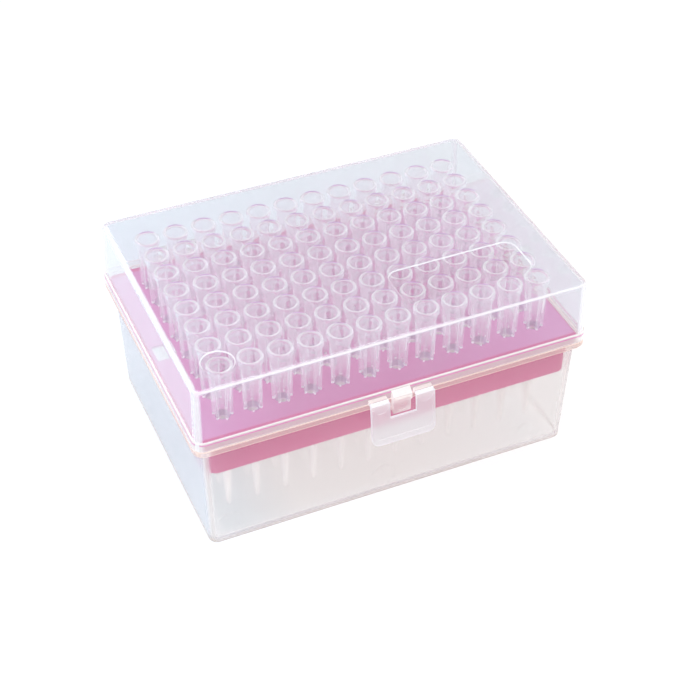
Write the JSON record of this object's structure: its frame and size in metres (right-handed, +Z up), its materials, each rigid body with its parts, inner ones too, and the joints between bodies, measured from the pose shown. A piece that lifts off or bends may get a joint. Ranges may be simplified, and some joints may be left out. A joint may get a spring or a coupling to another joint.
{
  "type": "box of pipette tips",
  "caption": "Hinged clear-lidded box on a frosted base, with a lift-out rack of ribbed pipette tips and a hinged front latch flap.",
  "frame": {"origin": "centre of the base's footprint, on the plane it stands on", "axes": "+X along the rows of twelve tips, +Z up, -Y towards the latch"},
  "size_m": [0.1238, 0.0974, 0.0614],
  "materials": {
    "base_frosted": "frosted translucent",
    "rack_pink": "satin",
    "lid_clear": "clear gloss",
    "latch_clear": "clear gloss",
    "tip_natural": "translucent natural"
  },
  "bodies": {
    "base": {"base": "base_frosted", "rack": "rack_pink", "tips_column_01": "tip_natural", "tips_column_02": "tip_natural", "tips_column_03": "tip_natural", "tips_column_04": "tip_natural", "tips_column_05": "tip_natural", "tips_column_06": "tip_natural", "tips_column_07": "tip_natural", "tips_column_08": "tip_natural", "tips_column_09": "tip_natural", "tips_column_10": "tip_natural", "tips_column_11": "tip_natural", "tips_column_12": "tip_natural"},
    "lid": {"lid": "lid_clear"},
    "latch": {"latch": "latch_clear"}
  },
  "joints": [
    {"name": "lid_hinge", "type": "hinge", "parent": "base", "child": "lid", "pos_m": [0, 0.0466, 0.04015], "axis": [-1, 0, 0], "range_deg": [0, 110]},
    {"name": "latch_hinge", "type": "hinge", "parent": "lid", "child": "latch", "pos_m": [-0.0002, -0.04535, 0.04115], "axis": [-1, 0, 0], "range_deg": [0, 100]}
  ]
}
